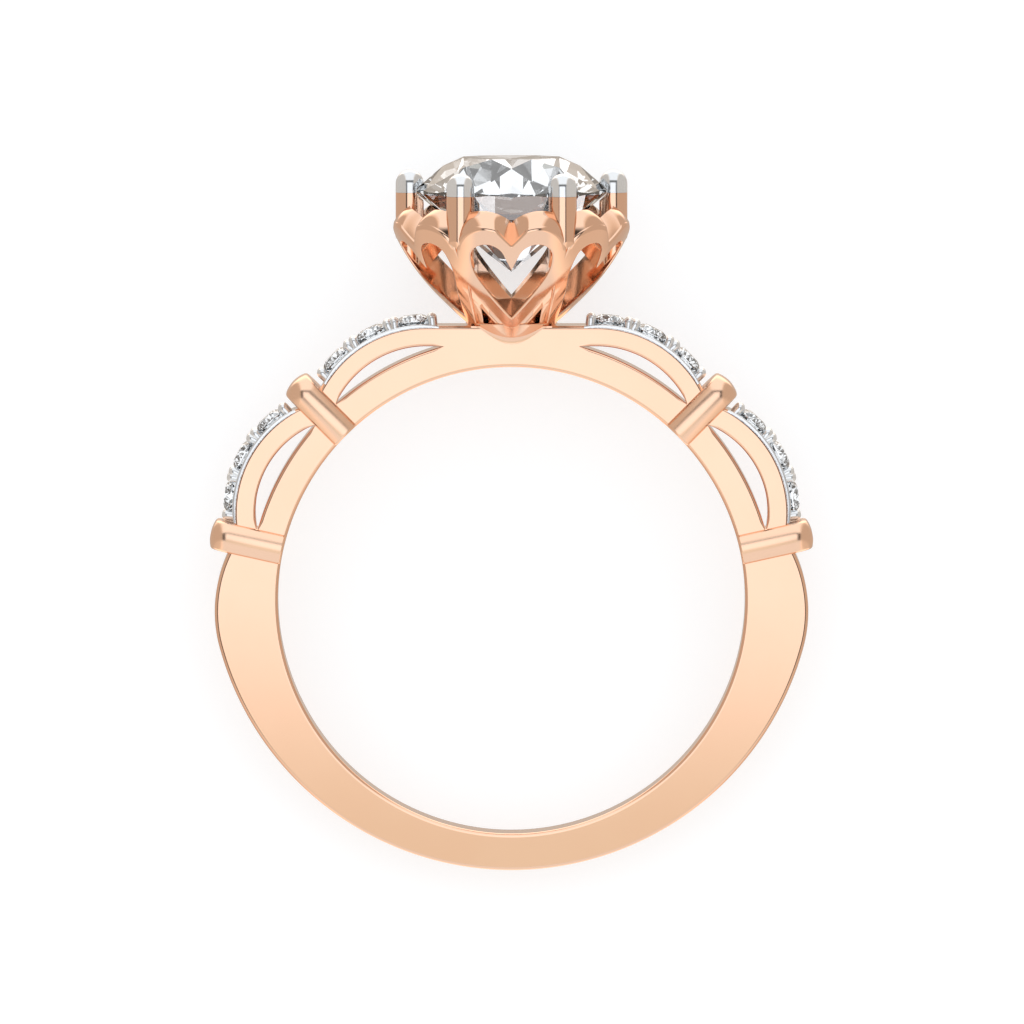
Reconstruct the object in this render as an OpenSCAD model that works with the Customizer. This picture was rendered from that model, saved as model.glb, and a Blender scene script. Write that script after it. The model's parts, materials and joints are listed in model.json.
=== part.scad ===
// Solitaire ring: a round brilliant in a basket of six hearts, on a band with pierced arches
// and accent stones.
// It is drawn as worn, finger axis along Z and head toward +Y, and then laid on its side as it rests.

/* [Band] */
// Diameter of the finger bore
bore_d = 17.3; // [15:0.1:20]
// Width of the band along the finger
band_w = 2.2; // [1.8:0.1:3]
// Thickness of the plain hoop that lines the bore
hoop_t = 1.1; // [0.9:0.05:1.4]
// Level of the flat top of the band under the head
crest_y = 10.18; // [10:0.01:10.4]

/* [Arches] */
// Direction of the upper arch's centre, from the head
upper_at = 28.8; // [27:0.1:30]
// Distance of the upper arch's centre from the finger axis
upper_off = 6.535; // [6.4:0.005:6.7]
// Radius inside the upper arch
upper_in = 3.7; // [3.4:0.01:3.8]
// Direction of the lower arch's centre, from the head
lower_at = 61.4; // [60:0.1:63]
// Distance of the lower arch's centre from the finger axis
lower_off = 6.77; // [6.6:0.005:6.9]
// Radius inside the lower arch
lower_in = 3.54; // [3.3:0.01:3.6]
// Thickness of the lower arch
lower_t = 0.81; // [0.7:0.01:1]

/* [Shank] */
// Radius of the shank's outer curve at the bottom
shank_r = 11.2; // [10.8:0.05:11.6]
// How far that curve's centre lies above the finger axis
shank_up = 1.19; // [1:0.01:1.3]
// Radius of each shoulder
shoulder_r = 5; // [4.5:0.1:5.5]
// Direction in which a shoulder leaves the bottom curve, from the head
shoulder_at = 105; // [100:1:110]

/* [Collars] */
// Direction of the collar between the two arches
collar_a_at = 45; // [44:0.1:46]
// Direction of the collar between the lower arch and the shoulder
collar_b_at = 77.5; // [76:0.1:79]
// Width of a collar along the band
collar_w = 1.1; // [0.9:0.05:1.3]
// Distance of a collar's outer end from the finger axis
collar_reach = 11.41; // [11.3:0.01:11.6]
// Depth of a collar at its crown, along the finger
collar_depth = 2.84; // [2.6:0.02:3]
// Rise of a collar's crown above its sides
collar_crown = 0.22; // [0.1:0.01:0.3]
// Rise of a collar's outer end above its sides
collar_dome = 0.13; // [0.05:0.01:0.2]
// Rounding of a collar's outer corners
collar_corner = 0.45; // [0.2:0.05:0.6]

/* [Accent stones] */
// Diameter of an accent stone
accent_d = 1.3; // [1.1:0.05:1.4]
// Angle between neighbouring accent stones about their arch's centre
accent_pitch = 20.3; // [19.5:0.1:21]
// Direction of the first stone on the upper arch
upper_first = 6.2; // [5.5:0.1:7]
// Direction of the first stone on the lower arch
lower_first = 41.9; // [41:0.1:42.5]
// Height of an accent stone's girdle above the arch
accent_rise = 0.14; // [0.1:0.01:0.3]
// Thickness of a claw between accent stones
claw_d = 0.32; // [0.2:0.02:0.36]
// Distance of a claw from the middle of its stone, along the row
claw_along = 0.66; // [0.6:0.01:0.68]
// Distance of a claw from the middle of its stone, across the row
claw_across = 0.42; // [0.38:0.01:0.5]
// Height of a claw's rounded tip above the arch
claw_h = 0.38; // [0.3:0.01:0.5]

/* [Basket] */
// Radius of the bowl's wall where its straight flank turns into a curve
bowl_r = 2.668; // [2.5:0.01:2.8]
// Level of that turn
bowl_y = 11.196; // [11:0.01:11.4]
// Radius of the wall's curve in section
bowl_curve = 8.67; // [8:0.05:9.5]
// Thickness of the wall at the turn
wall_low = 1; // [0.9:0.05:1.1]
// Thickness of the wall at the rim
wall_rim = 0.8; // [0.7:0.05:0.9]
// Level of the rim on the outside
rim_y = 13.94; // [13.8:0.01:14.1]
// How far the lower border lies behind the hearts' faces
border_step = 0.06; // [0.05:0.01:0.15]
// Radius of the foot at its top
foot_r = 1.7; // [1.5:0.01:1.75]
// Level of the foot's top
foot_y = 10.3; // [10.25:0.01:10.5]
// Level of the foot's lower end, inside the band
foot_low = 9.3; // [9.1:0.05:9.4]
// Radius of the foot's lower end
foot_low_r = 0.7; // [0.6:0.01:0.9]

/* [Hearts] */
// Number of hearts and of prongs round the basket
heart_n = 6; // [6]
// Distance of a lobe's centre from the heart's middle line
lobe_x = 0.86; // [0.8:0.01:0.9]
// Level of a lobe's centre on the heart's own slope
lobe_s = 11.83; // [11.7:0.01:11.95]
// Outer radius of a lobe
lobe_r = 1.16; // [1.1:0.01:1.2]
// Level of the outer cleft
cleft_s = 12.36; // [12.2:0.01:12.5]
// Level of a heart's rounded lower tip
tip_s = 8.26; // [8.2:0.01:8.4]
// Rounding of that tip
tip_r = 0.34; // [0.25:0.01:0.4]
// Slant of a heart's legs from its middle line
leg_at = 36; // [35:0.5:37]
// Level of the border's lower tip
border_tip_s = 7.84; // [7.8:0.01:7.95]
// Rounding of the border's tip
border_tip_r = 0.44; // [0.35:0.01:0.5]
// Level of the opening's lobe centres
hole_s = 11.7; // [11.6:0.01:11.8]
// Radius of the opening's lobes
hole_r = 0.635; // [0.6:0.005:0.66]
// Level of the opening's cleft
hole_cleft_s = 11.3; // [11.2:0.01:11.4]
// Level of the opening's lower point
hole_tip_s = 8.85; // [8.8:0.01:8.95]
// Radius of the opening's flanks
hole_flank_r = 1.9; // [1.8:0.05:2]
// Slant of the opening's legs
hole_leg_at = 34.5; // [34:0.5:35.5]

/* [Prongs] */
// Diameter of a prong
prong_d = 1.04; // [0.9:0.02:1.1]
// Radius of the circle that the prongs stand on
prong_ring = 3.77; // [3.7:0.01:3.85]
// Level of a prong's rounded top
prong_top = 15.92; // [15.8:0.01:16.1]
// Level at which a prong's outer side ends in the wall
prong_out_end = 13.42; // [13.35:0.01:13.43]
// Level at which its inner side ends in the wall
prong_in_end = 12.2; // [12.1:0.01:12.3]

/* [Centre stone] */
// Diameter of the centre stone
stone_d = 7.04; // [6.8:0.02:7.1]
// Level of the girdle
girdle_y = 15.13; // [15:0.01:15.2]
// Thickness of the girdle where the facets are farthest apart
girdle_t = 0.16; // [0.12:0.01:0.2]
// Level of the table
table_y = 16.38; // [16.2:0.01:16.5]
// Level of the culet
culet_y = 12.13; // [12:0.01:12.3]
// Gap between a stone and the metal round it
seat_gap = 0.04; // [0.02:0.01:0.06]

/* [Hidden] */
ACCENTS = 12;
$fn = 96;
FINE = 180;
rose_gold = [0.89, 0.68, 0.54];
diamond = [0.88, 0.93, 0.97];

bore_r = bore_d / 2;
hoop_r = bore_r + hoop_t;
upper_c = upper_off * [sin(upper_at), cos(upper_at)];
lower_c = lower_off * [sin(lower_at), cos(lower_at)];
upper_out = crest_y - upper_c[1];
lower_out = lower_in + lower_t;
bottom_y = shank_r - shank_up;
shoulder_c = [0, shank_up] + (shank_r - shoulder_r) * [sin(shoulder_at), cos(shoulder_at)];

prong_r = prong_d / 2;
claw_r = claw_d / 2;
stone_r = stone_d / 2;
accent_r = accent_d / 2;
// proportions of a round brilliant: radii as shares of the girdle's
table_share = 0.545;
star_share = 0.72;
lower_share = 0.25;
accent_crown = 0.24;
accent_depth = 0.56;
accent_girdle = 0.05;

// Basket wall in section: a straight flank at 45 degrees, then a curve tangent to it
curve_c = [bowl_r, bowl_y] + bowl_curve * [-cos(45), sin(45)];
function wall_r(y) =
    y < bowl_y ? bowl_r + y - bowl_y : curve_c[0] + sqrt(pow(bowl_curve, 2) - pow(curve_c[1] - y, 2));
rim_out = [wall_r(rim_y), rim_y];
// the lobes' tops slope at 45 degrees through the wall, so the inner rim lies higher than the outer one
rim_slope = asin((curve_c[1] - rim_y) / bowl_curve);
rim_in = rim_out + wall_rim / cos(45 - rim_slope) * [-sin(45), cos(45)];
turn_in = [bowl_r, bowl_y] + wall_low * [-cos(45), sin(45)];
// radius of the inner curve, which is tangent to the inner flank and reaches the inner rim
rim_run = rim_in - turn_in;
curve_in = (rim_run * rim_run) / (2 * rim_run * [-cos(45), sin(45)]);
curve_in_c = turn_in + curve_in * [-cos(45), sin(45)];
wall_top = 15;
wall_foot = 9.4;
wall_far = 6;
// where cuts along a heart's slope start outside the wall and end: the frames' inside the hollow, the
// openings' just past the wall's inner face, before neighbouring openings would meet
slope_start = 5;
frame_end = 8.2;
opening_end = 7.6;
// how far a collar's blank reaches into the bore before the bore is cut
collar_low = bore_r - 0.4;

// Tilt at rest: the steepest line from the band's lower edge to the lobes of the heart underneath
function slope_level(x, y) = (y + sqrt(pow(wall_r(y), 2) - pow(x, 2))) * cos(45);
function rim_level(x, s, low, high, n) =
    let (mid = (low + high) / 2)
    n == 0 ? mid
    : slope_level(x, mid) < s ? rim_level(x, s, mid, high, n - 1)
    : rim_level(x, s, low, mid, n - 1);
function lean(x, y) = atan((sqrt(pow(wall_r(y), 2) - pow(x, 2)) - band_w / 2) / (y + bottom_y));
tilt = max([for (a = [-14:1:40])
    let (x = lobe_x + lobe_r * sin(a), s = lobe_s + lobe_r * cos(a))
    lean(x, rim_level(x, s, 12, wall_top, 30))]);
lift = bottom_y * sin(tilt) + band_w / 2 * cos(tilt);
far_y = table_y * cos(tilt) + stone_r * table_share * cos(22.5) * sin(tilt);
near_y = -bottom_y * cos(tilt) - band_w / 2 * sin(tilt);

module at_rest() {
    translate([0, -(far_y + near_y) / 2, lift]) rotate([tilt, 0, 0]) children();
}

// Turns what is drawn standing on Z so that it stands toward the head
module toward_head() {
    rotate([-90, 0, 0]) children();
}

module both_sides() {
    children();
    mirror([1, 0, 0]) children();
}

// Opening between an arch and the hoop; the upper one runs on level toward the head
module gap(centre, r, top) {
    difference() {
        union() {
            translate(centre) circle(r = r, $fn = FINE);
            if (top) translate([centre[0] - hoop_t, centre[1]]) square([hoop_t, r]);
        }
        circle(r = hoop_r, $fn = FINE);
    }
}

// Lower half of the band, seen along the finger: the bottom curve and the shoulders tangent to it
module shank_outline() {
    wide = 2 * shank_r;
    intersection() {
        translate([0, shank_up]) circle(r = shank_r, $fn = FINE);
        polygon([
            [0, shank_up],
            [0, shank_up] + wide * [sin(shoulder_at), cos(shoulder_at)],
            [wide, -wide],
            [-wide, -wide],
            [0, shank_up] + wide * [-sin(shoulder_at), cos(shoulder_at)],
        ]);
    }
    both_sides() translate(shoulder_c) circle(r = shoulder_r, $fn = FINE);
}

module band_outline() {
    difference() {
        union() {
            circle(r = hoop_r, $fn = FINE);
            shank_outline();
            translate([-upper_c[0], 0]) square([2 * upper_c[0], crest_y]);
            both_sides() {
                translate(upper_c) circle(r = upper_out, $fn = FINE);
                translate(lower_c) circle(r = lower_out, $fn = FINE);
            }
        }
        both_sides() {
            gap(upper_c, upper_in, true);
            gap(lower_c, lower_in, false);
        }
    }
}

module band() {
    linear_extrude(band_w, center = true) band_outline();
}

// Radius of an arc that rises by h over a chord w
function arc_r(w, h) = (pow(w / 2, 2) + h * h) / (2 * h);

// A strip that starts at low and ends at high in a shallow arc
module domed_strip(w, low, high, rise) {
    r = arc_r(w, rise);
    translate([-w / 2, low]) square([w, high - r + 0.1 - low]);
    intersection() {
        translate([0, high - r]) circle(r = r);
        translate([-w / 2, high - r]) square([w, r + 1]);
    }
}

module collar_profile() {
    d = collar_depth / 2;
    translate([collar_low, -d]) square([collar_reach - collar_corner - collar_low, 2 * d]);
    translate([collar_low, collar_corner - d]) square([collar_reach - collar_low, 2 * (d - collar_corner)]);
    for (z = [collar_corner - d, d - collar_corner])
        translate([collar_reach - collar_corner, z]) circle(r = collar_corner);
}

module collar(at) {
    rotate([0, 0, -at])
        intersection() {
            translate([0, 0, -collar_depth])
                linear_extrude(2 * collar_depth) domed_strip(collar_w, collar_low, collar_reach, collar_dome);
            translate([-collar_w, 0, 0])
                rotate([90, 0, 90]) linear_extrude(2 * collar_w) collar_profile();
            rotate([-90, 0, 0])
                linear_extrude(2 * collar_reach)
                    for (turn = [0, 180])
                        rotate(turn) domed_strip(collar_w, -0.1, collar_depth / 2, collar_crown);
        }
}

// Section of the wall between its outer face, set in by step, and its inner face
module wall_section(step) {
    out = bowl_curve - step;
    turn_out = curve_c + out * [cos(45), -sin(45)];
    flank_r = turn_out[0] - (turn_out[1] - wall_foot);
    polygon([
        [0, wall_foot],
        [flank_r, wall_foot],
        turn_out,
        turn_in,
        [0, turn_in[1] - turn_in[0]],
    ]);
    difference() {
        intersection() {
            translate(curve_c) circle(r = out, $fn = FINE);
            polygon([
                turn_in, turn_out, [wall_far, turn_out[1]], [wall_far, wall_top],
                [0, wall_top], [0, turn_in[1] + turn_in[0]],
            ]);
        }
        translate(curve_in_c) circle(r = curve_in, $fn = FINE);
    }
}

module wall(step) {
    rotate_extrude() wall_section(step);
}

// Extrudes an outline drawn on a heart's slope straight through the wall
module through_wall(deep) {
    for (k = [0:heart_n - 1])
        rotate([0, 0, k * 360 / heart_n]) rotate([135, 0, 0])
            translate([0, 0, -deep]) linear_extrude(deep - slope_start) children();
}

function leg_point(s, r, x) =
    let (a = [r * cos(leg_at), s + r - r * sin(leg_at)])
    [x, a[1] + (x - a[0]) / tan(leg_at)];

module legs(s, r, top) {
    side = lobe_x + lobe_r;
    low = [r * cos(leg_at), s + r - r * sin(leg_at)];
    high = leg_point(s, r, side);
    translate([0, s + r]) circle(r = r);
    polygon([[0, s + r], low, high, [side, top], [-side, top], [-high[0], high[1]], [-low[0], low[1]]]);
}

module heart_outline() {
    legs(tip_s, tip_r, lobe_s);
    difference() {
        for (x = [-lobe_x, lobe_x]) translate([x, lobe_s]) circle(r = lobe_r);
        polygon([[0, cleft_s], [lobe_x, cleft_s + lobe_x], [-lobe_x, cleft_s + lobe_x]]);
    }
}

module border_outline() {
    legs(border_tip_s, border_tip_r, lobe_s);
}

module heart_opening() {
    flank_c = [lobe_x + hole_r - hole_flank_r, hole_s];
    way = [cos(hole_leg_at), -sin(hole_leg_at)];
    corner = flank_c + hole_flank_r * way;
    arm = [lobe_x, hole_s - hole_cleft_s];
    reach = norm(arm);
    turn = atan(arm[1] / arm[0]) + asin(hole_r / reach);
    touch = [0, hole_cleft_s] + sqrt(reach * reach - hole_r * hole_r) * [cos(turn), sin(turn)];
    polygon([
        [0, hole_tip_s], corner, [lobe_x, hole_s], touch, [0, hole_cleft_s],
        [-touch[0], touch[1]], [-lobe_x, hole_s], [-corner[0], corner[1]],
    ]);
    both_sides() {
        translate([lobe_x, hole_s]) circle(r = hole_r);
        intersection() {
            translate(flank_c) circle(r = hole_flank_r);
            polygon([
                [lobe_x, hole_s], [lobe_x + 2 * hole_r, hole_s],
                flank_c + (hole_flank_r + hole_r) * way, flank_c + (hole_flank_r - hole_r) * way,
            ]);
        }
    }
}

// A wire with a round top; its lower end is cut to the slope of the wall and lies inside it
module prong() {
    low = prong_in_end - prong_r;
    shoulder = prong_top - prong_r;
    outer = [prong_ring + prong_r, prong_out_end];
    inner = [prong_ring - prong_r, prong_in_end];
    translate([0, -prong_ring, 0])
        difference() {
            rotate_extrude() {
                translate([0, low]) square([prong_r, shoulder - low]);
                intersection() {
                    translate([0, shoulder]) circle(r = prong_r);
                    translate([0, shoulder - 0.1]) square([prong_r, prong_r + 0.1]);
                }
            }
            translate([0, prong_ring, 0]) rotate([90, 0, -90])
                linear_extrude(4 * prong_r, center = true)
                    polygon([
                        outer + (outer - inner), inner - (outer - inner),
                        [inner[0], foot_low], [2 * outer[0], foot_low],
                    ]);
        }
}

module basket() {
    difference() {
        union() {
            intersection() {
                wall(0);
                through_wall(frame_end) heart_outline();
            }
            intersection() {
                wall(border_step);
                through_wall(frame_end) border_outline();
            }
            rotate_extrude()
                polygon([[0, foot_low], [foot_low_r, foot_low], [foot_r, foot_y], [0, foot_y]]);
            for (k = [0:heart_n - 1]) rotate([0, 0, (k + 0.5) * 360 / heart_n]) prong();
        }
        through_wall(opening_end) heart_opening();
    }
}

// Height of a crown or pavilion facet's corner, on the straight line from r1, z1 to r2, z2
function on_line(r, r1, z1, r2, z2) = z1 + (r - r1) * (z2 - z1) / (r2 - r1);
function ring(n, r, first, z) =
    [for (i = [0:n - 1]) [r * cos(first + i * 360 / n), r * sin(first + i * 360 / n), z]];

// Round brilliant with its girdle's middle at Z 0: table, 8 stars, 8 kites, 16 upper and 16 lower
// halves and 8 pavilion mains; the halves cut the girdle in shallow waves of m steps
module brilliant(r, crown, depth, girdle, m, turn) {
    half = girdle / 2;
    rt = r * table_share;
    rs = r * star_share;
    rp = r * lower_share;
    zs = on_line(rs * cos(22.5), rt, crown, r, half);
    zp = -on_line(rp * cos(22.5), 0, depth, r, half);
    n = 16 * m;
    function wave(i, rim, r_corner, z_corner) =
        rim + (z_corner - rim) * r * (cos((i % m) * 22.5 / m - 11.25) - cos(11.25))
            / ((r_corner - r) * cos(11.25));
    function girdle_ring(rim, r_corner, z_corner) = [for (i = [0:n - 1])
        [r * cos(i * 360 / n), r * sin(i * 360 / n), wave(i, rim, r_corner, z_corner)]];
    points = concat(
        ring(8, rt, 0, crown),
        ring(8, rs, 22.5, zs),
        girdle_ring(half, rs, zs),
        girdle_ring(-half, rp, zp),
        ring(8, rp, 22.5, zp),
        [[0, 0, -depth]]
    );
    star = 8;
    top = 16;
    low = top + n;
    main = low + n;
    culet = main + 8;
    function up(i) = top + (i + n) % n;
    function down(i) = low + (i + n) % n;
    faces = concat(
        [[for (i = [7:-1:0]) i]],
        [for (k = [0:7]) [k, (k + 1) % 8, star + k]],
        [for (k = [0:7]) [k, star + k, up(2 * m * k), star + (k + 7) % 8]],
        [for (k = [0:7]) for (h = [0, 1])
            concat([star + k], [for (i = [m:-1:0]) up((2 * k + h) * m + i)])],
        [for (i = [0:n - 1]) [up(i), up(i + 1), down(i + 1)]],
        [for (i = [0:n - 1]) [up(i), down(i + 1), down(i)]],
        [for (k = [0:7]) for (h = [0, 1])
            concat([main + k], [for (i = [0:m]) down((2 * k + h) * m + i)])],
        [for (k = [0:7]) [culet, main + (k + 7) % 8, down(2 * m * k), main + k]]
    );
    rotate([0, 0, turn]) polyhedron(points, faces);
}

// Room for a stone: its own turned outline, grown by the seat gap
module stone_room(r, crown, depth, girdle) {
    g = seat_gap;
    rs = r * star_share;
    zs = on_line(rs * cos(22.5), r * table_share, crown, r, girdle / 2);
    rotate_extrude()
        polygon([
            [0, -depth - g], [r + g, -girdle / 2 - g / 2], [r + g, girdle / 2 + g / 2],
            [rs, zs + g], [r * table_share, crown + g + 0.4], [0, crown + g + 0.4],
        ]);
}

// Puts what is drawn standing on Z at stone i of a row of three on an arch
module on_arch(centre, out, first, i) {
    translate(centre)
        rotate([0, 0, -(first + i * accent_pitch)])
            translate([0, out, 0]) toward_head() children();
}

// Stones 1 to 3 and 4 to 6 lie on the right upper and lower arches, 7 to 12 on the left ones
module accent_place(number) {
    row = floor((number - 1) / 3);
    i = (number - 1) % 3;
    mirror([row > 1 ? 1 : 0, 0, 0])
        if (row % 2 == 0)
            on_arch(upper_c, upper_out, upper_first, i) children();
        else
            on_arch(lower_c, lower_out, lower_first, i) children();
}

module claws() {
    for (x = [-claw_along, claw_along], y = [-claw_across, claw_across])
        translate([x, y, 0])
            rotate_extrude() {
                translate([0, -0.25]) square([claw_r, claw_h - claw_r + 0.25]);
                intersection() {
                    translate([0, claw_h - claw_r]) circle(r = claw_r);
                    translate([0, claw_h - claw_r - 0.02]) square([claw_r, claw_r + 0.02]);
                }
            }
}

module ring_mounting() {
    color(rose_gold)
        at_rest()
            difference() {
                union() {
                    band();
                    both_sides() {
                        collar(collar_a_at);
                        collar(collar_b_at);
                    }
                    toward_head() basket();
                    for (i = [1:ACCENTS]) accent_place(i) claws();
                }
                cylinder(r = bore_r, h = 4 * band_w, center = true, $fn = FINE);
                toward_head() translate([0, 0, girdle_y])
                    stone_room(stone_r, table_y - girdle_y, girdle_y - culet_y, girdle_t);
                for (i = [1:ACCENTS]) accent_place(i) translate([0, 0, accent_rise])
                    stone_room(accent_r, accent_crown, accent_depth, accent_girdle);
            }
}

module centre_stone() {
    color(diamond)
        at_rest() toward_head() translate([0, 0, girdle_y])
            brilliant(stone_r, table_y - girdle_y, girdle_y - culet_y, girdle_t, 3, 22.5);
}

module accent_stone(number) {
    color(diamond)
        at_rest() accent_place(number) translate([0, 0, accent_rise])
            brilliant(accent_r, accent_crown, accent_depth, accent_girdle, 1, 22.5);
}

ring_mounting();
centre_stone();
for (i = [1:ACCENTS])
    accent_stone(i);
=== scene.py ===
"""Solitaire ring lying on its side: finishes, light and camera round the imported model."""
import json
import math

import bmesh
import bpy
import numpy as np
from mathutils import Matrix, Vector


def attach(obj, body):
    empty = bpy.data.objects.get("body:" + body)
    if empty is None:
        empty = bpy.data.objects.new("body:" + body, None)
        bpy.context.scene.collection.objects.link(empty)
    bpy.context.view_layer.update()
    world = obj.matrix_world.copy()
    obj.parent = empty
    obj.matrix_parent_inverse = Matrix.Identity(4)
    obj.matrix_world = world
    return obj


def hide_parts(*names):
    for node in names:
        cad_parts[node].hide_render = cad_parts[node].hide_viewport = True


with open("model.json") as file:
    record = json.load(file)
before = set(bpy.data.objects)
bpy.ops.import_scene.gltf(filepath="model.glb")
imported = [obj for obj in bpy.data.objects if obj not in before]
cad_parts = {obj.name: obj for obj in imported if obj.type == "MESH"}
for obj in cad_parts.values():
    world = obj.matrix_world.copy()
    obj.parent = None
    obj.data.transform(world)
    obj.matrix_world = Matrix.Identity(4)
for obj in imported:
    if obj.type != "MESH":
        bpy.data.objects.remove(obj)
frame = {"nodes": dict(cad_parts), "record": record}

scene = bpy.context.scene
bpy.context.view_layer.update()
MM = 0.001
# A piece's points closer than this many metres are merged, and edges sharper than these degrees stay crisp
WELD, CRISP_FROM = 2e-7, 50
# A length that something is divided by is never taken as less than this
TINY = 1e-9

# The ring as drawn: x across the finger, y from the shank toward the head, z along the finger.
# The bore's mount gives where that drawing lies in the row frame.
bore = frame["record"]["mounts"][0]
axis = Vector(bore["axis"])
across = Vector((1, 0, 0))
headward = axis.cross(across)
RING = Matrix.Translation(Vector(bore["pos_m"])) @ Matrix(
    (
        (across.x, headward.x, axis.x, 0),
        (across.y, headward.y, axis.y, 0),
        (across.z, headward.z, axis.z, 0),
        (0, 0, 0, 1),
    )
)


class Wire:
    """A node's output that can be added, subtracted and multiplied."""

    def __init__(self, tree, socket):
        self.tree = tree
        self.socket = socket

    def beside(self, out):
        """Another output of the same node."""
        return Wire(self.tree, self.socket.node.outputs[out])

    def __add__(self, other):
        return self.tree.math("ADD", self, other)

    def __radd__(self, other):
        return self.tree.math("ADD", other, self)

    def __sub__(self, other):
        return self.tree.math("SUBTRACT", self, other)

    def __rsub__(self, other):
        return self.tree.math("SUBTRACT", other, self)

    def __mul__(self, other):
        return self.tree.math("MULTIPLY", self, other)

    def __rmul__(self, other):
        return self.tree.math("MULTIPLY", other, self)


class Tree:
    """The node tree of a material or of the world."""

    def __init__(self, owner):
        owner.use_nodes = True
        self.owner = owner
        self.nodes = owner.node_tree.nodes
        self.links = owner.node_tree.links
        self.nodes.clear()

    def node(self, kind, settings=None, values=None, out=0):
        """Adds a node of that kind, sets its settings, then its sockets, and returns the output named, if it
        has any."""
        made = self.nodes.new(kind)
        for name, value in (settings or {}).items():
            setattr(made, name, value)
        for name, value in (values or {}).items():
            if isinstance(value, Wire):
                self.links.new(value.socket, made.inputs[name])
            else:
                made.inputs[name].default_value = value
        return Wire(self, made.outputs[out]) if made.outputs else None

    def math(self, operation, *values):
        return self.node("ShaderNodeMath", {"operation": operation}, dict(enumerate(values)))

    def axes(self, vector):
        """The x, y and z of a vector."""
        x = self.node("ShaderNodeSeparateXYZ", None, {"Vector": vector}, "X")
        return x, x.beside("Y"), x.beside("Z")

    def mix(self, factor, a, b):
        """Colour a where factor is 0 and b where it is 1."""
        return self.node(
            "ShaderNodeMix", {"data_type": "RGBA"}, {"Factor": factor, "A": a, "B": b}, "Result"
        )

    def step(self, value, low, high, to_low=0, to_high=1):
        """Rises smoothly from to_low at low to to_high at high."""
        return self.node(
            "ShaderNodeMapRange",
            {"interpolation_type": "SMOOTHSTEP"},
            {"Value": value, "From Min": low, "From Max": high, "To Min": to_low, "To Max": to_high},
        )

    def noise(self, place, scale, detail=2, roughness=0.5):
        return self.node(
            "ShaderNodeTexNoise",
            None,
            {"Vector": place, "Scale": scale, "Detail": detail, "Roughness": roughness},
            "Fac",
        )

    def out(self, shader, kind="ShaderNodeOutputMaterial"):
        self.node(kind, None, {"Surface": shader})


def rgba(r, g, b):
    return (r, g, b, 1)


def new_material(name):
    return Tree(bpy.data.materials.new(name))


# Scales of the drift of tone, the haze on metal and on stones, and the cloud on the floor
DRIFT, HAZE, STONE_HAZE, CLOUD = 260, 900, 2500, 14
# Polishing scratches in two directions: stretch, turn, and the noise's detail, roughness and limits
SCRATCHES = (
    ((900, 9000, 2600), (0.3, 0.2, 0.7), 3, 0.7, 0.58, 0.74),
    ((7000, 700, 2200), (0.1, 0.5, -0.4), 2, 0.6, 0.6, 0.76),
)


def polished_metal(name, light, deep, rough, metallic=1.0):
    """Polished metal: a faint drift of tone, fine polishing scratches and a soft haze, in ring scale."""
    t = new_material(name)
    place = t.node("ShaderNodeTexCoord", out="Object")
    drift = t.noise(place, DRIFT, 3)
    haze = t.noise(place, HAZE, 4, 0.6)
    marks = []
    for stretch, turn, detail, roughness, low, high in SCRATCHES:
        run = t.node("ShaderNodeMapping", None, {"Vector": place, "Scale": stretch, "Rotation": turn})
        marks.append(t.step(t.noise(run, 1, detail, roughness), low, high))
    marks = marks[0] + marks[1]
    bump = t.node(
        "ShaderNodeBump",
        None,
        {"Strength": 0.012, "Distance": 0.00002, "Height": marks * 0.5 + haze * 0.4},
        "Normal",
    )
    shader = t.node(
        "ShaderNodeBsdfPrincipled",
        None,
        {
            "Base Color": t.mix(t.step(drift, 0.3, 0.7), deep, light),
            "Roughness": rough + haze * 0.05 + marks * 0.03,
            "Metallic": metallic,
            "Normal": bump,
        },
    )
    t.out(shader)
    return t.owner


def cut_diamond():
    """Colourless diamond: clear, bent light, facets with the faintest polish haze."""
    t = new_material("diamond")
    place = t.node("ShaderNodeTexCoord", out="Object")
    haze = t.noise(place, STONE_HAZE)
    shader = t.node(
        "ShaderNodeBsdfPrincipled",
        None,
        {
            "Base Color": t.mix(t.step(haze, 0.35, 0.65), rgba(0.92, 0.96, 1.0), rgba(0.93, 0.965, 1.0)),
            "Roughness": t.step(haze, 0.4, 0.8, 0.0, 0.012),
            "IOR": 2.417,
            "Transmission Weight": 1.0,
        },
    )
    t.out(shader)
    return t.owner


def pale_floor():
    """Grey floor with a faint cloud of tone, lit from within like a light table until it looks white."""
    t = new_material("floor_white")
    place = t.node("ShaderNodeTexCoord", out="Object")
    cloud = t.noise(place, CLOUD)
    shader = t.node(
        "ShaderNodeBsdfPrincipled",
        None,
        {
            "Base Color": t.mix(cloud, rgba(0.4, 0.415, 0.43), rgba(0.42, 0.435, 0.45)),
            "Roughness": 0.6,
            "Specular IOR Level": 0.2,
            "Emission Color": rgba(1, 1, 1),
            "Emission Strength": 0.64,
        },
    )
    t.out(shader)
    return t.owner


# Driving sizes of the ring, in millimetres and degrees, as in the part's source
BORE_R = bore["dims"]["r_mm"]
HOOP_T = 1.1
HOOP_R = BORE_R + HOOP_T
HALF_WIDTH = bore["dims"]["length_mm"] / 2
CREST = 10.18
UPPER_AT, UPPER_OFF, UPPER_IN = 28.8, 6.535, 3.7
LOWER_AT, LOWER_OFF, LOWER_IN, LOWER_T = 61.4, 6.77, 3.54, 0.81
LOWER_OUT = LOWER_IN + LOWER_T
SHANK_R, SHANK_UP = 11.2, 1.19
SHOULDER_R, SHOULDER_AT = 5.0, 105.0
# A level line's distance from the finger axis isn't worked out for larger angles from the head
LEVEL_LIMIT = 80


def direction(turn):
    """Unit vector in the ring's plane at that angle from the head toward +x: (sin, cos)."""
    a = np.radians(turn)
    return np.stack([np.sin(a), np.cos(a)], -1)


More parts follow.
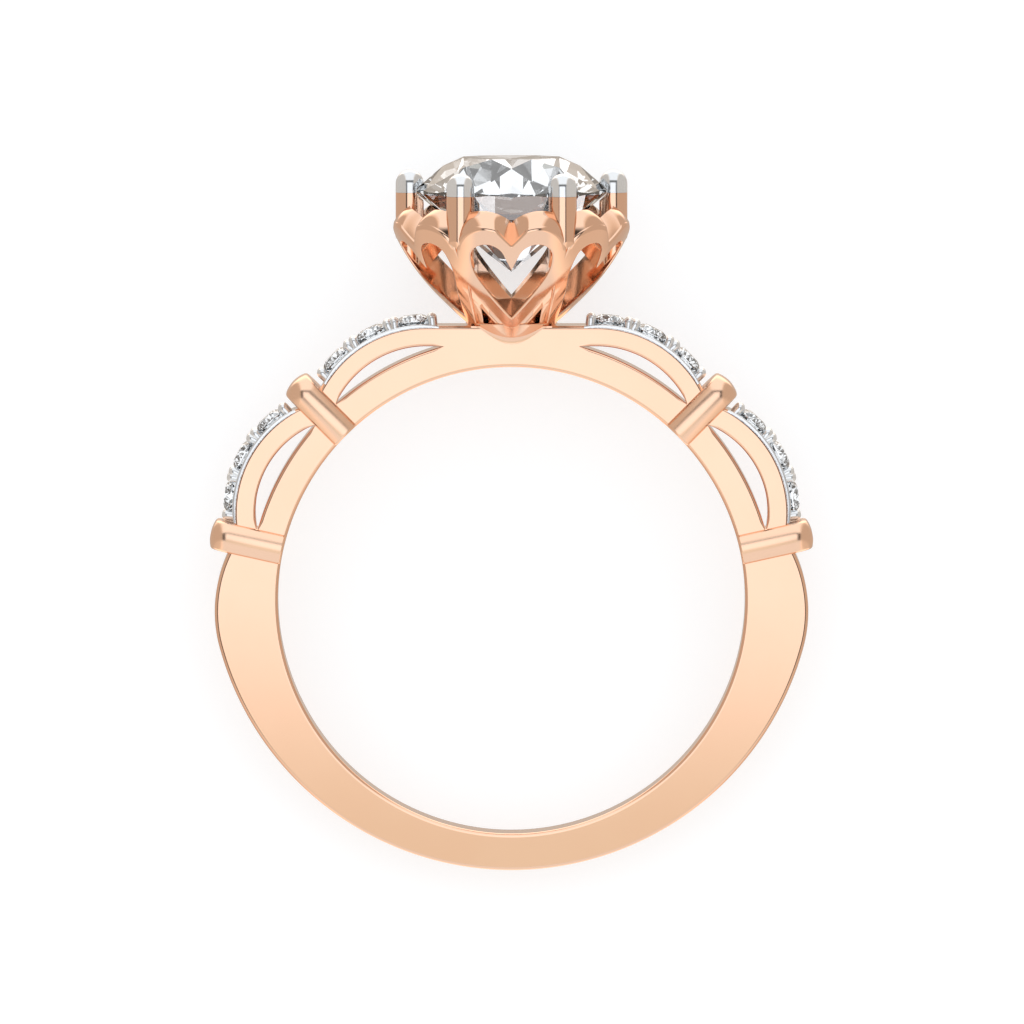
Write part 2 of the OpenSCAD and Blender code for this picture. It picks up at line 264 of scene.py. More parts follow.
UPPER_C = UPPER_OFF * direction(UPPER_AT)
LOWER_C = LOWER_OFF * direction(LOWER_AT)
UPPER_OUT = CREST - UPPER_C[1]
SHOULDER_C = np.array([0, SHANK_UP]) + (SHANK_R - SHOULDER_R) * direction(SHOULDER_AT)


def grid_faces(rows, columns, closed):
    """Four corners of each cell of a grid of points stored row after row: i times columns plus j, and the
    next ones. In a closed grid the last column is joined to the first."""
    i = np.arange(rows - 1)[:, None]
    j = np.arange(columns if closed else columns - 1)[None, :]
    after = (j + 1) % columns
    cells = [i * columns + j, i * columns + after, (i + 1) * columns + after, (i + 1) * columns + j]
    return np.stack(np.broadcast_arrays(*cells), -1).reshape(-1, 4)


def sheet(points, closed=False):
    """A grid of points with its faces."""
    return points, grid_faces(points.shape[0], points.shape[1], closed)


def joined(parts):
    """Several (points, faces) as one: each face's numbers are raised by the points before it."""
    points, faces, before = [], [], 0
    for p, f in parts:
        p = np.asarray(p, float).reshape(-1, 3)
        points.append(p)
        faces.append(np.asarray(f) + before)
        before += len(p)
    return np.concatenate(points), np.concatenate(faces)


def piece(name, parts, material):
    """A piece of the ring from grids in the ring's own frame: its points go through the bore's matrix,
    doubles are merged, faces turned outward, and edges sharper than an angle kept crisp."""
    points, faces = joined(parts)
    matrix = np.array(RING)
    placed = points * MM @ matrix[:3, :3].T + matrix[:3, 3]
    mesh = bpy.data.meshes.new(name)
    mesh.from_pydata(placed.tolist(), [], faces.tolist())
    bm = bmesh.new()
    bm.from_mesh(mesh)
    bmesh.ops.remove_doubles(bm, verts=bm.verts, dist=WELD)
    bmesh.ops.dissolve_degenerate(bm, edges=bm.edges, dist=WELD / 2)
    bmesh.ops.recalc_face_normals(bm, faces=bm.faces)
    bm.to_mesh(mesh)
    bm.free()
    mesh.shade_smooth()
    mesh.set_sharp_from_angle(angle=math.radians(CRISP_FROM))
    mesh.materials.append(material)
    made = bpy.data.objects.new(name, mesh)
    scene.collection.objects.link(made)
    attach(made, "root")
    return made


def far_side(turn, at, off, r):
    """Distance from the finger axis to the far side of a circle of radius r whose centre lies off away at
    angle at: off times cos, plus the root of r squared less off times sin squared. It is 0 where the ray
    misses the circle."""
    d = np.radians(turn - at)
    root = r**2 - (off * np.sin(d)) ** 2
    return np.where(root > 0, off * np.cos(d) + np.sqrt(np.maximum(root, 0)), 0)


def closed_run(loops):
    """A closed body from loops of points one after another; each end is closed by a fan to its middle."""
    first = np.broadcast_to(loops[:1].mean(1, keepdims=True), loops[:1].shape)
    last = np.broadcast_to(loops[-1:].mean(1, keepdims=True), loops[:1].shape)
    return sheet(np.concatenate([first, loops, last]), True)


def rounding(f, steps=5):
    """Quarter round of radius f from a face to a wall, as (inset, drop): f(1 - sin), f(1 - cos)."""
    a = np.radians(np.linspace(0, 90, steps + 1))
    f = np.asarray(f)[..., None]
    return f * (1 - np.sin(a)), f * (1 - np.cos(a))


def outer_edge(turn):
    """Distance of the band's outer edge at that angle: the farthest of the hoop, the shank's and shoulder's
    circles, the arches' circles and the level crest under the head."""
    tangent = np.array([0, SHANK_UP]) + SHANK_R * direction(SHOULDER_AT)
    tangent_at = np.degrees(np.arctan2(*tangent))
    shoulder_off = np.hypot(*SHOULDER_C)
    shoulder_at = np.degrees(np.arctan2(*SHOULDER_C))
    crest_end = np.degrees(np.arctan2(UPPER_C[0], CREST))
    return np.maximum.reduce(
        [
            np.full_like(turn, HOOP_R),
            np.where(turn >= tangent_at, far_side(turn, 0, SHANK_UP, SHANK_R), 0),
            np.where(turn < tangent_at, far_side(turn, shoulder_at, shoulder_off, SHOULDER_R), 0),
            far_side(turn, UPPER_AT, UPPER_OFF, UPPER_OUT),
            far_side(turn, LOWER_AT, LOWER_OFF, LOWER_OUT),
            np.where(turn <= crest_end, CREST / np.cos(np.radians(np.minimum(turn, LEVEL_LIMIT))), 0),
        ]
    )


def gap_ends(at, off, r):
    """The two angles at which an arch's inner circle crosses the hoop, by the cosine rule."""
    half = np.degrees(np.arccos((off**2 + HOOP_R**2 - r**2) / (2 * off * HOOP_R)))
    return at - half, at + half


# Radii of the band's edges and of its gaps' edges, and degrees between its sections
EDGE, GAP_EDGE, BAND_STEP = 0.13, 0.1, 0.4
GAP_EDGE_GROWS = 4
# Rows of points down the bore's wall, the outer side and a gap's wall, and the flat faces' shares of the way
BORE_ROWS, OUTER_ROWS, GAP_ROWS = 4, 16, 3
FACE_SHARES = (0.02, 0.3, 0.7, 0.98)
# Accent stones: direction of each row's first stone about its arch's centre, and the stones' own sizes
UPPER_FIRST, LOWER_FIRST, PITCH, IN_ROW = 6.2, 41.9, 20.3, 3
ROWS = ((UPPER_C, UPPER_OUT, UPPER_FIRST), (LOWER_C, LOWER_OUT, LOWER_FIRST))
ACCENT_R, ACCENT_RISE, ACCENT_DEPTH = 0.65, 0.14, 0.56
SEAT_GAP = 0.04
# The stones' seats: their radius, and the slope of a cone that falls this much short of the girdle at its rim
ROOM_R = ACCENT_R + SEAT_GAP
ROOM_SHORT = 0.005
ROOM_SLOPE = (ACCENT_DEPTH - ROOM_SHORT) / ROOM_R
# How much deeper than the stones' seats the band under the plating is drilled
DRILL_CLEAR = 0.08


def room_height(away):
    """Height of an accent stone's seat above the arch, away from the stone's axis: a cone that rises by its
    slope from below the culet."""
    return ACCENT_RISE - ACCENT_DEPTH - SEAT_GAP + ROOM_SLOPE * away


def row_places():
    """Foot point on the arch, outward direction and direction along the row of each stone on the right side:
    the foot is the arch's centre plus its outer radius times the outward direction."""
    places = []
    for centre, out, first in ROWS:
        for i in range(IN_ROW):
            up = direction(first + i * PITCH)
            places.append((centre + out * up, up, np.array([up[1], -up[0]])))
    return places


def drilled(points, clear):
    """Points of an arch's outer side sunk under the stones: each is lowered along its stone's axis to the
    seat's height less clear, where that lies below the point."""
    points = points.copy()
    for foot, up, along in row_places():
        local = points[..., :2] - foot
        away = np.hypot(local @ along, points[..., 2])
        height = local @ up
        drop = np.where(away < ROOM_R, np.maximum(height - (room_height(away) - clear), 0), 0)
        near = np.abs(local @ along) < ROOM_R
        points[..., :2] -= np.where(near, drop, 0)[..., None] * up
    return points


def edge_rows(edge, inward, f, walls):
    """Rows of a rounded edge from the front face to mid-width: a quarter round of radius f, then an even
    wall."""
    f = np.broadcast_to(np.asarray(f, float), edge.shape[:1])
    inset, drop = rounding(f)
    share = np.arange(1, walls + 1) / walls
    inset = np.concatenate([inset, np.zeros((len(edge), walls))], 1)
    height = np.concatenate([HALF_WIDTH - drop, (HALF_WIDTH - f)[:, None] * (1 - share)], 1)
    flat = edge[:, None, :] + inward[:, None, :] * inset[..., None]
    return np.concatenate([flat, height[..., None]], -1)


def face_rows(a, b):
    """Rows of the flat front face between the first rows of two rounded edges: a share of one and the rest of
    the other."""
    shares = np.asarray(FACE_SHARES)[None, :, None]
    return a[:, :1, :] * (1 - shares) + b[:, :1, :] * shares


def outward(curve):
    """Unit normals of a curve in the ring's plane, to the left of its run: (-ty, tx) of its tangent. Both
    ends lie in the mirror plane, where the normal has no part across."""
    t = np.gradient(curve, axis=0)
    n = np.stack([-t[:, 1], t[:, 0]], -1)
    n[[0, -1], 0] = 0
    return n / np.linalg.norm(n, axis=-1, keepdims=True)


def mirrored(parts, column):
    """The parts and their mirror images in the plane where that coordinate is 0."""
    flip = np.ones(3)
    flip[column] = -1
    return list(parts) + [(np.asarray(p).reshape(-1, 3) * flip, np.asarray(f)[:, ::-1]) for p, f in parts]


def band():
    """The hoop, the arches and the shank: a slab of constant width with rounded edges. In polar form about
    the finger axis it runs from the bore to outer_edge, less the gaps between the hoop and the arches' inner
    circles. The gaps' edge radius grows from 0 at their ends to its full size four radii farther in. A
    quarter is worked out and mirrored twice."""
    level = UPPER_C[1] + UPPER_IN
    upper_tip = np.degrees(np.arccos(level / HOOP_R))
    upper_end = gap_ends(UPPER_AT, UPPER_OFF, UPPER_IN)[1]
    lower_tip, lower_end = gap_ends(LOWER_AT, LOWER_OFF, LOWER_IN)
    turn = np.arange(0, 180 + BAND_STEP / 2, BAND_STEP)
    ends = np.array([upper_tip, upper_end, lower_tip, lower_end])
    clear = np.abs(turn[:, None] - ends).min(1) > BAND_STEP / 4
    turn = np.sort(np.concatenate([turn[clear], ends]))
    u = direction(turn)
    flat = level / np.cos(np.radians(np.minimum(turn, LEVEL_LIMIT)))
    over_upper = np.where(flat * u[:, 0] < UPPER_C[0], flat, far_side(turn, UPPER_AT, UPPER_OFF, UPPER_IN))
    over_lower = far_side(turn, LOWER_AT, LOWER_OFF, LOWER_IN)
    in_upper = (turn >= upper_tip) & (turn <= upper_end)
    in_lower = (turn >= lower_tip) & (turn <= lower_end)
    over = np.where(in_upper, over_upper, np.where(in_lower, over_lower, HOOP_R))
    over = np.maximum(over, HOOP_R)
    reach = np.where(in_upper, np.minimum(turn - upper_tip, upper_end - turn), 0)
    reach = np.where(in_lower, np.minimum(turn - lower_tip, lower_end - turn), reach)
    gap_f = GAP_EDGE * np.clip(np.radians(reach) * HOOP_R / (GAP_EDGE_GROWS * GAP_EDGE), 0, 1)

    out_curve = u * outer_edge(turn)[:, None]
    over_curve = u * over[:, None]
    bore_edge = edge_rows(BORE_R * u, u, EDGE, BORE_ROWS)
    out_edge = drilled(edge_rows(out_curve, -outward(out_curve), EDGE, OUTER_ROWS), DRILL_CLEAR)
    low_edge = edge_rows(HOOP_R * u, -u, gap_f, GAP_ROWS)
    over_edge = edge_rows(over_curve, outward(over_curve), gap_f, GAP_ROWS)
    inner = np.concatenate([low_edge[:, :1], face_rows(low_edge, bore_edge), bore_edge], 1)
    outer = np.concatenate([over_edge[:, :1], face_rows(over_edge, out_edge), out_edge], 1)
    parts = [sheet(inner), sheet(outer)]
    for inside in (in_upper, in_lower):
        parts += [sheet(low_edge[inside]), sheet(over_edge[inside])]
    return mirrored(mirrored(parts, 2), 0)


# Collars: their directions, width along the band, reach from the finger axis and half depth, how far their
# faces and ends fall away, and the radii of their corners, long edges and inner corners
COLLARS = (45.0, 77.5)
COLLAR_W, COLLAR_REACH, COLLAR_HALF = 1.1, 11.41, 1.42
COLLAR_CROWN, COLLAR_DOME, COLLAR_CORNER = 0.22, 0.13, 0.62
COLLAR_EDGE, COLLAR_HEEL, COLLAR_OFF_BORE = 0.08, 0.1, 0.015
# The corners of a collar's section in turn: where the arc ends, and whether it is at the far end and in front
COLLAR_CORNERS = ((90, True, True), (0, True, False), (-90, False, False), (-180, False, True))
COLLAR_ROWS, ROLL_ROWS, CORNER_POINTS = 25, 5, 9


def collar(at):
    """A strap over the band: rounded rectangles in the plane of radius and width, one after another along the
    band. Their faces fall away from the middle by crown and dome times the square of the distance, and roll
    over by a quarter round at both sides."""
    half = COLLAR_W / 2
    flat = half - COLLAR_EDGE
    t = np.sin(np.radians(np.linspace(-90, 90, COLLAR_ROWS))) * flat
    roll = np.radians(np.linspace(0, 90, ROLL_ROWS))[1:]
    side = COLLAR_EDGE * (1 - np.cos(roll))
    along = np.concatenate([-flat - COLLAR_EDGE * np.sin(roll[::-1]), t, flat + COLLAR_EDGE * np.sin(roll)])
    extra = np.concatenate([side[::-1], np.zeros(len(t)), side])
    square = (along / half) ** 2
    face = COLLAR_HALF - COLLAR_CROWN * square - extra
    end = COLLAR_REACH - COLLAR_DOME * square - extra
    heel = BORE_R + COLLAR_OFF_BORE + extra
    arc = np.radians(np.linspace(90, 0, CORNER_POINTS))
    rows = []
    for turn_from, at_end, upper in COLLAR_CORNERS:
        radius = COLLAR_CORNER if at_end else COLLAR_HEEL
        a = np.radians(turn_from) + arc - math.pi / 2
        middle_r = (end - radius) if at_end else (heel + radius)
        middle_z = (face - radius) if upper else (radius - face)
        r = middle_r[:, None] + radius * np.cos(a)[None, :]
        z = middle_z[:, None] + radius * np.sin(a)[None, :]
        rows.append(np.stack([r, np.broadcast_to(along[:, None], r.shape), z], -1))
    loops = np.concatenate(rows, 1)
    up = direction(at)
    sideways = np.array([up[1], -up[0]])
    flat_part = loops[..., :1] * up + loops[..., 1:2] * sideways
    return [closed_run(np.concatenate([flat_part, loops[..., 2:]], -1))]


# Basket: the wall's section, a straight flank at 45 degrees and a curve tangent to it
HALF_ROOT = math.sqrt(0.5)
BOWL_R, BOWL_Y, BOWL_CURVE = 2.668, 11.196, 8.67
WALL_LOW, WALL_RIM, RIM_Y = 1.0, 0.8, 13.94
INWARD = np.array([-HALF_ROOT, HALF_ROOT])
CURVE_C = np.array([BOWL_R, BOWL_Y]) + BOWL_CURVE * INWARD
# Slope of the plane between two hearts, how near it a point counts as on it, and the rounds of two searches
SECTOR = math.tan(math.pi / 6)
SECTOR_NEAR = 0.003
HALVINGS, SECTOR_ROUNDS = 45, 12


def arc_out(y, curve, middle):
    """Radius of a turned arc at level y: its middle's radius plus the root of its own radius squared less the
    height over the middle squared."""
    return middle[0] + np.sqrt(np.maximum(curve**2 - (middle[1] - y) ** 2, 0))


def wall_outside(y):
    """Radius of the wall's outer side at level y: it grows as fast as y up to the bowl's level, and is the
    arc's above it."""
    return np.where(y < BOWL_Y, BOWL_R + y - BOWL_Y, arc_out(y, BOWL_CURVE, CURVE_C))


RIM_SLOPE = math.asin((CURVE_C[1] - RIM_Y) / BOWL_CURVE)
RIM_IN = np.array([float(wall_outside(RIM_Y)), RIM_Y]) + WALL_RIM / math.cos(math.pi / 4 - RIM_SLOPE) * INWARD
TURN_IN = np.array([BOWL_R, BOWL_Y]) + WALL_LOW * INWARD
RIM_RUN = RIM_IN - TURN_IN
CURVE_IN = float(RIM_RUN @ RIM_RUN / (2 * RIM_RUN @ INWARD))
CURVE_IN_C = TURN_IN + CURVE_IN * INWARD


def wall_inside(y):
    """Radius of the wall's inner side at level y: it grows as fast as y up to its own turn, and is its
    arc's above it."""
    return np.where(y < TURN_IN[1], TURN_IN[0] + y - TURN_IN[1], arc_out(y, CURVE_IN, CURVE_IN_C))


def reach_wall(x, s, wall):
    """Where the straight line at x and s, square to the 45 degree slope, meets a turned wall: w is halved
    down until the wall's radius at its level equals its distance from the head's axis."""
    low, high = -s, np.zeros_like(s)
    for _ in range(HALVINGS):
        w = (low + high) / 2
        outside = wall((s - w) * HALF_ROOT) > np.hypot(x, (s + w) * HALF_ROOT)
        low, high = np.where(outside, w, low), np.where(outside, high, w)
    return w


def on_slope(x, s, w):
    """A point of the ring from its place across, along and square to the slope: level (s - w) / root 2 and
    depth (s + w) / root 2."""
    return np.stack([x, (s - w) * HALF_ROOT, (s + w) * HALF_ROOT], -1)


def in_sector(x, s, wall, depth):
    """A point that deep under a wall, kept inside the heart's own 60 degrees: x is brought back to the plane
    that it shares with the next heart."""
    kept = x
    for _ in range(SECTOR_ROUNDS):
        w = reach_wall(kept, s, wall) - depth
        kept = np.minimum(x, (s + w) * HALF_ROOT * SECTOR)
    return on_slope(kept, s, w)


# A heart's frame on the slope, across and along it: lobes, cleft, tip, border and opening. The counts are the
# points on cleft, lobe, side, leg and tip.
LOBE_X, LOBE_S, LOBE_R, CLEFT_S = 0.86, 11.83, 1.16, 12.36
TIP_S, TIP_R, LEG_AT = 8.26, 0.34, 36.0
BORDER_TIP_S, BORDER_TIP_R = 7.84, 0.44
HOLE_S, HOLE_R, HOLE_CLEFT_S, HOLE_TIP_S, HOLE_FLANK_R, HOLE_LEG_AT = 11.7, 0.635, 11.3, 8.85, 1.9, 34.5
FRAME_COUNTS = (10, 30, 10, 26, 9)
# Share of the opening's leg that is drawn more finely, next to its tip
NEAR_TIP = 0.1


def straight(a, b, n):
    """n points from a on toward b, b left out: a times what is left plus b times the share."""
    share = np.arange(n)[:, None] / n
    return np.asarray(a) * (1 - share) + np.asarray(b) * share


def round_part(middle, r, first, last, n):
    """n points on a circle from angle first toward last, last left out: middle plus r times (cos, sin)."""
    a = np.radians(first + (last - first) * np.arange(n) / n)
    return np.asarray(middle) + r * np.stack([np.cos(a), np.sin(a)], -1)


def half_leg(tip_s, tip_r, counts):
    """Right half of a heart's lower outline: down its side, along the leg and round the tip."""
    a = math.radians(LEG_AT)
    low = (tip_r * math.cos(a), tip_s + tip_r - tip_r * math.sin(a))
    side = LOBE_X + LOBE_R
    high = (side, low[1] + (side - low[0]) / math.tan(a))
    return [
        straight((side, LOBE_S), high, counts[2]),
        straight(high, low, counts[3]),
        round_part((0, tip_s + tip_r), tip_r, -LEG_AT, -90, counts[4] - 1),
        np.array([[0, tip_s]]),
    ]


def heart_edges():
    """Right halves of the heart's outline, of its border, of its rim on the inner side and of its opening,
    with matching points: cleft, lobe, side, leg and tip. The notch of the outline is gone at the rim, where
    the lobe's circle runs on to the middle."""
    n = FRAME_COUNTS
    middle = np.array([LOBE_X, LOBE_S])
    b = middle - np.array([0, CLEFT_S])
    t = (b.sum() + math.sqrt(b.sum() ** 2 - 2 * (b @ b - LOBE_R**2))) / 2
    crease = np.array([t, CLEFT_S + t])
    first = math.degrees(math.atan2(crease[1] - LOBE_S, crease[0] - LOBE_X))
    top = [straight((0, CLEFT_S), crease, n[0]), round_part(middle, LOBE_R, first, 0, n[1])]
    outline = np.concatenate(top + half_leg(TIP_S, TIP_R, n))
    border = np.concatenate(top + half_leg(BORDER_TIP_S, BORDER_TIP_R, n))
    meet = math.degrees(math.acos(-LOBE_X / LOBE_R))
    arch = [round_part(middle, LOBE_R, meet, 0, n[0] + n[1])]
    rim = np.concatenate(arch + half_leg(BORDER_TIP_S, BORDER_TIP_R, n))

    arm = np.array([LOBE_X, HOLE_S - HOLE_CLEFT_S])
    reach = math.hypot(*arm)
    turn = math.atan2(arm[1], arm[0]) + math.asin(HOLE_R / reach)
    touch = np.array([0, HOLE_CLEFT_S]) + math.sqrt(reach**2 - HOLE_R**2) * np.array(
        [math.cos(turn), math.sin(turn)]
    )
    start = math.degrees(math.atan2(touch[1] - HOLE_S, touch[0] - LOBE_X))
    flank = np.array([LOBE_X + HOLE_R - HOLE_FLANK_R, HOLE_S])
    leg = math.radians(HOLE_LEG_AT)
    corner = flank + HOLE_FLANK_R * np.array([math.cos(leg), -math.sin(leg)])
    tip = np.array([0, HOLE_TIP_S])
    near_tip = tip + (corner - tip) * NEAR_TIP
    opening = np.concatenate(
        [
            straight((0, HOLE_CLEFT_S), touch, n[0]),
            round_part((LOBE_X, HOLE_S), HOLE_R, start, 0, n[1]),
            round_part(flank, HOLE_FLANK_R, 0, -HOLE_LEG_AT, n[2]),
            straight(corner, near_tip, n[3]),
            straight(near_tip, tip, n[4] - 1),
            tip[None],
        ]
    )
    return outline, border, rim, opening


# Edge radii of the frame, and the border's steps below the face under the lobes and beside the legs
HOLE_EDGE, LOBE_EDGE, LEG_EDGE, BORDER_EDGE = 0.07, 0.12, 0.05, 0.04
BORDER_STEP, LOBE_STEP = 0.07, LOBE_EDGE + 0.01
# The crease beside the border: how far it is below the border, and how wide
CREASE_DEEP, CREASE_WIDE = 0.02, 0.03
# Swell of the lobes' tops: its height, the number of the point at its middle, and the share it falls from
LOBE_CROWN, LOBE_TOP, CROWN_HOLD = 0.07, 19, 1.3
# Rows of points down the opening's side, down the outer side and over the inner face, and the face's shares
HOLE_ROWS, SIDE_ROWS, INNER_ROWS = 7, 12, 8
FRAME_SHARES = (0.04, 0.25, 0.5, 0.75, 0.96)


def heart_frames():
    """Six pierced hearts side by side round the head. The right halves of the opening, the outline, the
    border and the rim are joined by rows across the wall: side, rounded edge, face, rounded edge, border,
    side and inner face. The half is mirrored and turned to all twelve places, and the halves meet in planes
    30 degrees from each heart's middle."""
    outline, border, rim, opening = heart_edges()
    n = len(outline)
    lobes = np.arange(n) < FRAME_COUNTS[0] + FRAME_COUNTS[1]
    edge = np.where(lobes, LOBE_EDGE, LEG_EDGE)
    step = np.where(lobes, LOBE_STEP, BORDER_STEP)
    border_edge = np.where(lobes, 0.0, BORDER_EDGE)
    way = outline - opening
    way /= np.linalg.norm(way, axis=-1, keepdims=True)
    down = border - outline
    length = np.linalg.norm(down, axis=-1, keepdims=True)
    down = np.where(length > TINY, down / np.maximum(length, TINY), 0)

    rows = []

    def outer_row(q, depth):
        rows.append(in_sector(q[:, 0], q[:, 1], wall_outside, np.broadcast_to(depth, (n,))))

    def wall_rows(q, depth, count, end=None, crown=0.0):
        """Rows down a side that is cut square to the slope, to the inner face or to the next heart's plane.
        It runs evenly from q to end and swells between them by crown times 4 share (1 - share)."""
        end = q if end is None else end
        start = reach_wall(q[:, 0], q[:, 1], wall_outside) - depth
        cross = end[:, 0] / SECTOR / HALF_ROOT - end[:, 1]
        stop = np.minimum(start, np.maximum(reach_wall(end[:, 0], end[:, 1], wall_inside), cross))
        for share in np.arange(1, count + 1) / count:
            x, s = (q * (1 - share) + end * share + way * crown * (4 * share * (1 - share))).T
            w = start + (stop - start) * share
            rows.append(on_slope(np.minimum(x, (s + w) * HALF_ROOT * SECTOR), s, w))

    inset, drop = rounding(HOLE_EDGE, 4)
    wall_rows(opening, HOLE_EDGE, HOLE_ROWS)
    rows.reverse()
    for i in range(len(inset) - 1, -1, -1):
        outer_row(opening + way * inset[i], drop[i])
    first, last = opening + way * HOLE_EDGE, outline - way * edge[:, None]
    for share in FRAME_SHARES:
        outer_row(first * (1 - share) + last * share, 0.0)
    inset, drop = rounding(edge)
    for i in range(inset.shape[1]):
        outer_row(outline - way * inset[:, i : i + 1], drop[:, i])
    outer_row(outline, step + CREASE_DEEP)
    outer_row(outline + down * CREASE_WIDE, step)
    inset, drop = rounding(border_edge, 3)
    for i in range(inset.shape[1]):
        outer_row(border - down * inset[:, i : i + 1], step + drop[:, i])
    swell = LOBE_CROWN * np.clip(CROWN_HOLD - np.abs(np.arange(n) - LOBE_TOP) / LOBE_TOP, 0, 1)[:, None]
    wall_rows(border, step + border_edge, SIDE_ROWS, rim, swell)
    for share in np.linspace(1, 0, INNER_ROWS):
        q = opening * (1 - share) + rim * share
        rows.append(in_sector(q[:, 0], q[:, 1], wall_inside, np.zeros(n)))

    half, faces = sheet(np.stack(rows, 0))
    points = half.reshape(-1, 3)
    shared = np.abs(points[:, 0] - points[:, 2] * SECTOR) < SECTOR_NEAR
    points[shared, 0] = points[shared, 2] * SECTOR
    faces = faces[~shared[faces].all(1)]
    parts = []
    for side in mirrored([(points, faces)], 0):
        for k in range(6):
            parts.append((turned(side[0], 60 * k), side[1]))
    return parts


def turned(points, degrees):
    """Points turned about the head's axis by that angle: x cos plus z sin, and z cos less x sin."""
    c, s = math.cos(math.radians(degrees)), math.sin(math.radians(degrees))
    x, y, z = np.moveaxis(np.asarray(points, float), -1, 0)
    return np.stack([c * x + s * z, y, c * z - s * x], -1)


def lathe(profile, n):
    """A profile of (radius, level) turned about the head's axis in n steps: radius times (sin, cos)."""
    a = np.radians(np.arange(n) * 360 / n)
    r, y = np.asarray(profile, float).T
    return np.stack(
        [r[:, None] * np.sin(a), np.broadcast_to(y[:, None], (len(r), n)), r[:, None] * np.cos(a)], -1
    )


# Foot: a cone from its low end inside the band up to its top, its edge radius, and steps up and round it
FOOT_R, FOOT_Y, FOOT_LOW, FOOT_LOW_R, FOOT_EDGE = 1.7, 10.3, 9.3, 0.7, 0.06
FOOT_STEPS, FOOT_ROUND = 14, 96
# Seat: the reach of its hollow blend, how deep it goes in, how far it hides where it ends, and its grid
SEAT_BLEND, SEAT_DEEP, SEAT_HIDE = 0.2, 0.12, 0.02
SEAT_HALF, SEAT_LOW, SEAT_HIGH = 1.5, 9.35, CREST - 0.01
SEAT_COLUMNS, SEAT_ROWS = 81, 60


def foot():
    """Cone that carries the hearts, from inside the band up to the hollow's floor: its radius grows evenly
    with the level, and its top edge is a quarter round."""
    e = FOOT_EDGE
    profile = [(0, FOOT_LOW), (FOOT_LOW_R, FOOT_LOW)]
    for k in np.linspace(0.05, 1, FOOT_STEPS):
        profile.append((FOOT_LOW_R + (FOOT_R - FOOT_LOW_R) * k, FOOT_LOW + (FOOT_Y - e - FOOT_LOW) * k))
    for a in (30, 60, 90):
        turn = math.radians(a)
        profile.append((FOOT_R - e + e * math.cos(turn), FOOT_Y - e + e * math.sin(turn)))
    profile.append((0, FOOT_Y))
    return [sheet(lathe(profile, FOOT_ROUND), True)]


def seat():
    """Soft join of foot and band on the front and back faces: the higher of face and cone, with a hollow
    blend of height (k - gap) squared over 4k where they come within k of each other."""
    lean = (FOOT_R - FOOT_LOW_R) / (FOOT_Y - FOOT_LOW)
    x = np.linspace(-SEAT_HALF, SEAT_HALF, SEAT_COLUMNS)
    y = np.linspace(SEAT_LOW, SEAT_HIGH, SEAT_ROWS)
    x, y = np.meshgrid(x, y, indexing="ij")
    cone_r = FOOT_LOW_R + lean * (y - FOOT_LOW)
    cone = np.sqrt(np.maximum(cone_r**2 - x**2, 0))
    close = np.maximum(SEAT_BLEND - np.abs(cone - HALF_WIDTH), 0)
    height = np.maximum(cone, HALF_WIDTH) + close**2 / (4 * SEAT_BLEND)
    height -= np.where((close > 0) | (cone > HALF_WIDTH), 0, SEAT_HIDE)
    top = np.stack([x, y, height], -1)
    under = np.stack([x, y, np.full_like(x, HALF_WIDTH - SEAT_DEEP)], -1)
    return mirrored([closed_run(np.concatenate([top, under[:, ::-1]], 1))], 2)


# Prongs: radius, distance of their axes from the head's, levels of the top and of both lower ends, the level
# where the plating begins and half the gap between the two metals there, and the points round and up them
PRONG_R, PRONG_RING, PRONG_TOP = 0.52, 3.77, 15.92
PRONG_OUT_END, PRONG_IN_END, PLATED_FROM, PLATED_APART = 13.42, 12.2, 15.08, 0.003
PRONG_ROUND, PRONG_ROWS, TIP_ROWS, BALL_ROWS = 64, 40, 12, 17
# Centre stone, in the same levels
STONE_R, GIRDLE_Y, GIRDLE_T, TABLE_Y, CULET_Y = 3.52, 15.13, 0.16, 16.38, 12.13
TABLE_SHARE = 0.545


def stone_side(y):
    """Radius of the room round the centre stone at level y: the least of its pavilion's cone, its girdle
    and its crown's cone, grown by the gap."""
    room = STONE_R + SEAT_GAP
    low, high = GIRDLE_Y - GIRDLE_T / 2 - SEAT_GAP / 2, GIRDLE_Y + GIRDLE_T / 2 + SEAT_GAP / 2
    below = room * (y - CULET_Y + SEAT_GAP) / (low - CULET_Y + SEAT_GAP)
    above = room - (y - high) * STONE_R * (1 - TABLE_SHARE) / (TABLE_Y - high)
    return np.clip(np.minimum(below, above), 0, room)


